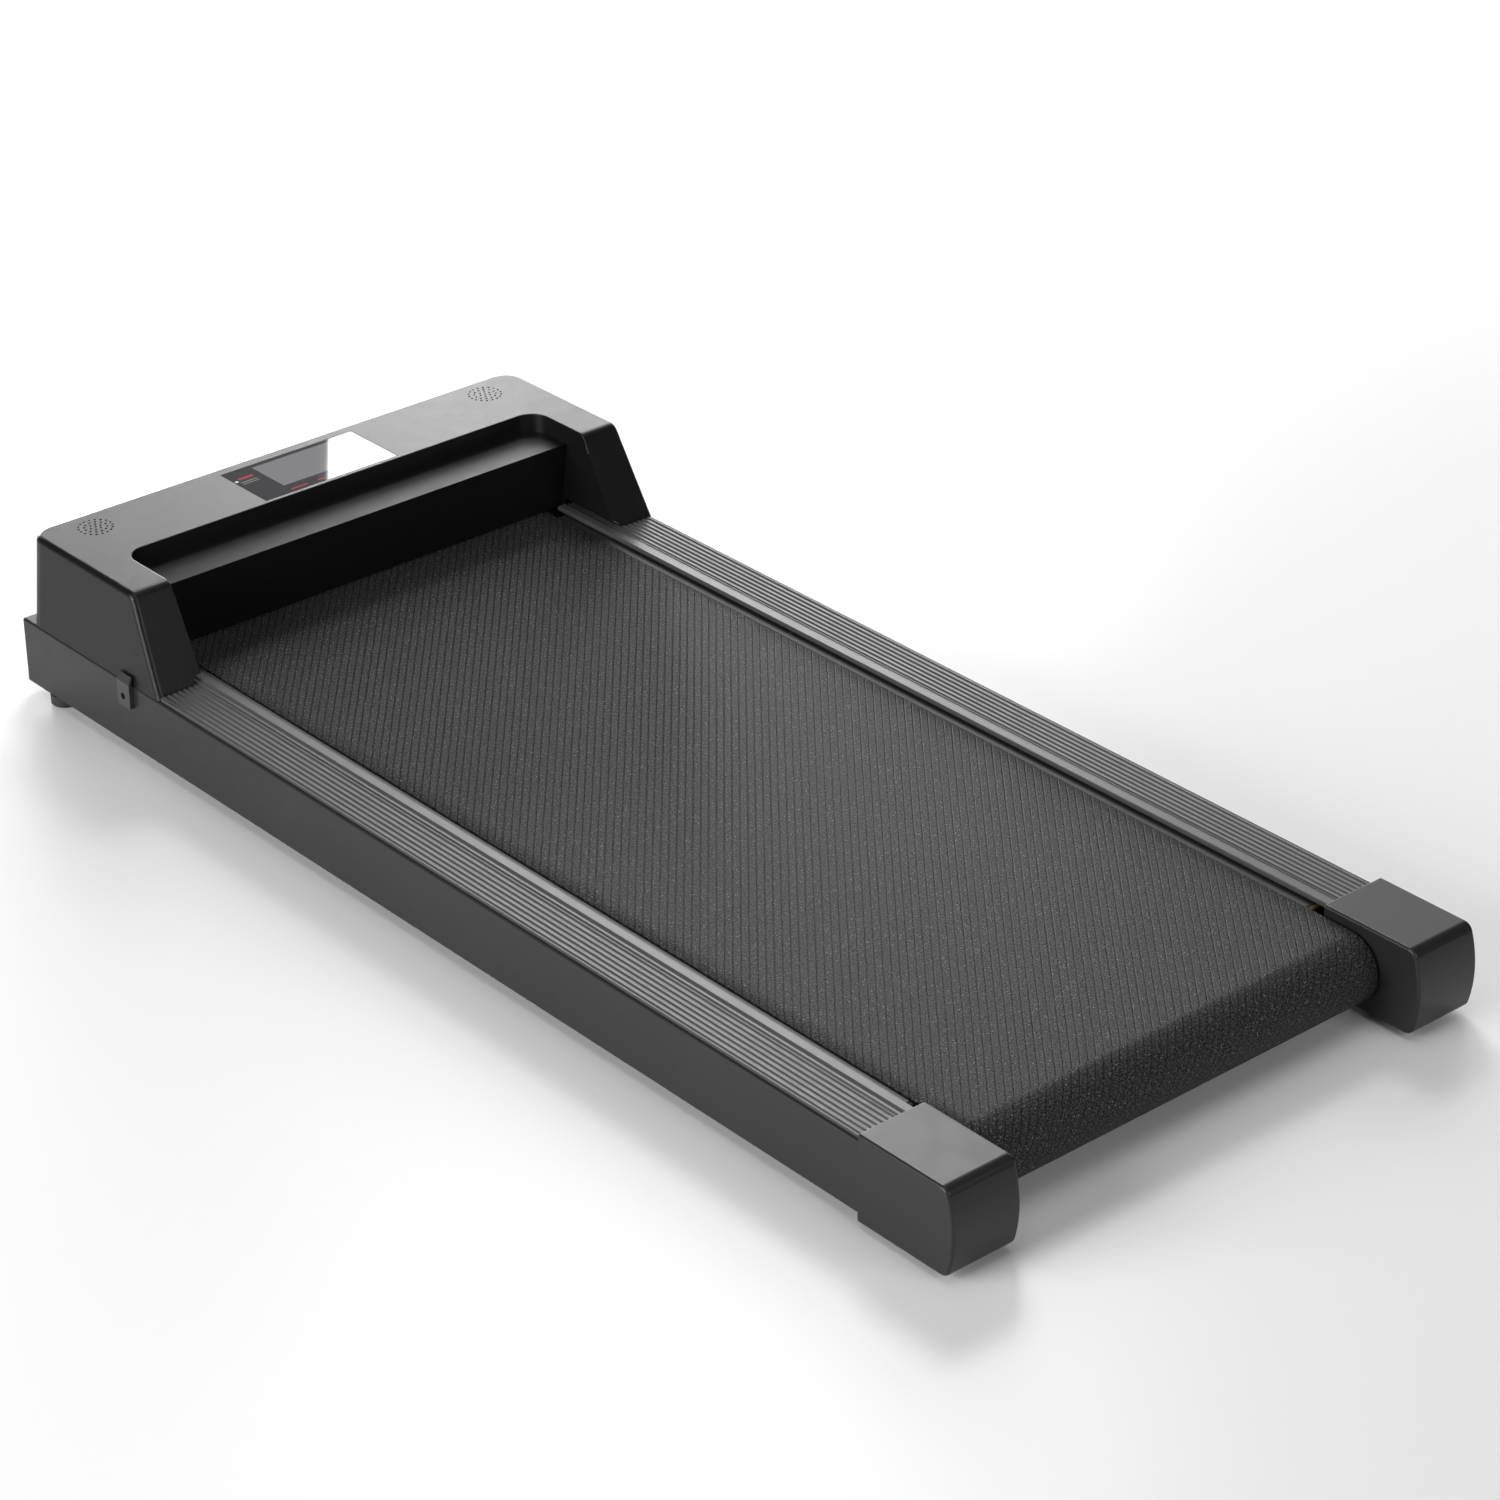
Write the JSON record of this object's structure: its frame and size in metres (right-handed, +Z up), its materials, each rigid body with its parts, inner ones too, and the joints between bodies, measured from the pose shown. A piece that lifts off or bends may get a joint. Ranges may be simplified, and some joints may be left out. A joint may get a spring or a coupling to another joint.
{
  "type": "treadmill",
  "caption": "Flat under-desk treadmill with a speckled running belt between ribbed side rails, a motor hood with display and shelf at the front, and roller end caps.",
  "frame": {"origin": "centre of the footprint on the floor, under the feet and pads", "axes": "+Y along the machine towards the motor hood at the front, +X to the walker's right, +Z up"},
  "size_m": [0.533, 1.1641, 0.1515],
  "materials": {
    "frame_paint": "satin black powder coat",
    "rail_plastic": "ribbed grey anti-slip plastic",
    "cap_plastic": "satin dark grey moulding",
    "hood_plastic": "satin charcoal with a fine metallic grain",
    "belt_rubber": "fine woven non-slip surface with light flecks",
    "deck_board": "board with a black wear-resistant film",
    "cushion_rubber": "soft black rubber",
    "foot_rubber": "hard black rubber",
    "zinc_screws": "zinc plated",
    "clip_plastic": "satin dark grey",
    "roller_steel": "turned",
    "shaft_steel": "ground",
    "hub_plastic": "moulded",
    "pulley_alloy": "turned",
    "drive_rubber": "ribbed",
    "motor_paint": "gloss black paint",
    "bell_alloy": "cast",
    "circuit_board": "green solder mask",
    "capacitor_sleeve": "shrink sleeve",
    "wire_jacket": "jacketed lead",
    "display_lens": "polished smoked cover",
    "display_panel": "grey-green liquid crystal panel",
    "inner_plastic": "moulded black",
    "speaker_cone": "coated paper cone",
    "fitting_plastic": "black",
    "rocker_plastic": "red",
    "button_plastic": "black",
    "pin_brass": "plated"
  },
  "bodies": {
    "treadmill_base": {"base_pan": "frame_paint", "breaker_body": "fitting_plastic", "controller_board": "circuit_board", "controller_capacitors": "capacitor_sleeve", "controller_heatsink": "bell_alloy", "deck_crossmembers": "frame_paint", "deck_cushions": "cushion_rubber", "deck_screws": "zinc_screws", "display_board": "circuit_board", "display_glass": "display_lens", "display_lcd": "display_panel", "display_tray": "inner_plastic", "drive_belt": "drive_rubber", "end_cap_left": "cap_plastic", "end_cap_right": "cap_plastic", "end_cap_screws": "zinc_screws", "front_feet": "foot_rubber", "front_panel": "frame_paint", "front_roller_shaft": "shaft_steel", "front_shaft_brackets": "frame_paint", "hood_screws": "zinc_screws", "hood_shell": "hood_plastic", "inlet_pins": "pin_brass", "internal_wiring": "wire_jacket", "motor_bolts": "zinc_screws", "motor_bracket": "frame_paint", "motor_can": "motor_paint", "motor_end_bells": "bell_alloy", "power_inlet": "fitting_plastic", "rear_pads": "foot_rubber", "rear_roller_brackets": "frame_paint", "running_belt": "belt_rubber", "running_deck": "deck_board", "side_beam_left": "frame_paint", "side_beam_right": "frame_paint", "side_clip_left": "clip_plastic", "side_clip_right": "clip_plastic", "side_rail_left": "rail_plastic", "side_rail_right": "rail_plastic", "speaker_cones": "speaker_cone", "speaker_frames": "inner_plastic", "switch_body": "fitting_plastic", "wheel_axles": "zinc_screws", "wheel_brackets": "frame_paint"},
    "front_roller": {"front_roller_tube": "roller_steel", "front_roller_hubs": "hub_plastic", "front_roller_bearings": "shaft_steel", "front_roller_pulley": "pulley_alloy"},
    "rear_carriage": {"rear_roller_shaft": "shaft_steel"},
    "rear_roller": {"rear_roller_tube": "roller_steel", "rear_roller_hubs": "hub_plastic", "rear_roller_bearings": "shaft_steel"},
    "motor_rotor": {"motor_shaft": "shaft_steel", "motor_pulley": "pulley_alloy"},
    "tension_screw_left": {"tension_bolt_left": "zinc_screws"},
    "tension_screw_right": {"tension_bolt_right": "zinc_screws"},
    "wheel_left": {"transport_wheel_left": "foot_rubber"},
    "wheel_right": {"transport_wheel_right": "foot_rubber"},
    "rocker": {"switch_rocker": "rocker_plastic"},
    "reset_button": {"breaker_button": "button_plastic"}
  },
  "joints": [
    {"name": "front_roller_spin", "type": "hinge", "parent": "treadmill_base", "child": "front_roller", "pos_m": [0, 0.477, 0.041], "axis": [1, 0, 0], "continuous": true},
    {"name": "motor_spin", "type": "hinge", "parent": "treadmill_base", "child": "motor_rotor", "pos_m": [0, 0.529, 0.092], "axis": [1, 0, 0], "continuous": true},
    {"name": "rear_tension", "type": "slide", "parent": "treadmill_base", "child": "rear_carriage", "axis": [0, 1, 0], "range_m": [0, 0.008]},
    {"name": "rear_roller_spin", "type": "hinge", "parent": "rear_carriage", "child": "rear_roller", "pos_m": [0, -0.5145, 0.041], "axis": [1, 0, 0], "continuous": true},
    {"name": "tension_screw_left_turn", "type": "hinge", "parent": "treadmill_base", "child": "tension_screw_left", "pos_m": [-0.2158, -0.53, 0.041], "axis": [0, 1, 0], "range_deg": [0, 2304]},
    {"name": "tension_screw_right_turn", "type": "hinge", "parent": "treadmill_base", "child": "tension_screw_right", "pos_m": [0.2158, -0.53, 0.041], "axis": [0, 1, 0], "range_deg": [0, 2304]},
    {"name": "wheel_left_spin", "type": "hinge", "parent": "treadmill_base", "child": "wheel_left", "pos_m": [-0.205, 0.561, 0.017], "axis": [1, 0, 0], "continuous": true},
    {"name": "wheel_right_spin", "type": "hinge", "parent": "treadmill_base", "child": "wheel_right", "pos_m": [0.205, 0.561, 0.017], "axis": [1, 0, 0], "continuous": true},
    {"name": "power_rocker", "type": "hinge", "parent": "treadmill_base", "child": "rocker", "pos_m": [0.1, 0.5745, 0.042], "axis": [1, 0, 0], "range_deg": [0, 20]},
    {"name": "breaker_press", "type": "slide", "parent": "treadmill_base", "child": "reset_button", "axis": [0, -1, 0], "range_m": [0, 0.002], "stiffness_N_per_m": 400}
  ],
  "couplings": [
    {"joint": "motor_spin", "follows": "front_roller_spin", "ratio": 2.5455},
    {"joint": "rear_roller_spin", "follows": "front_roller_spin", "ratio": 1},
    {"joint": "tension_screw_left_turn", "follows": "rear_tension", "rad_per_m": 5026.5},
    {"joint": "tension_screw_right_turn", "follows": "rear_tension", "rad_per_m": 5026.5}
  ]
}
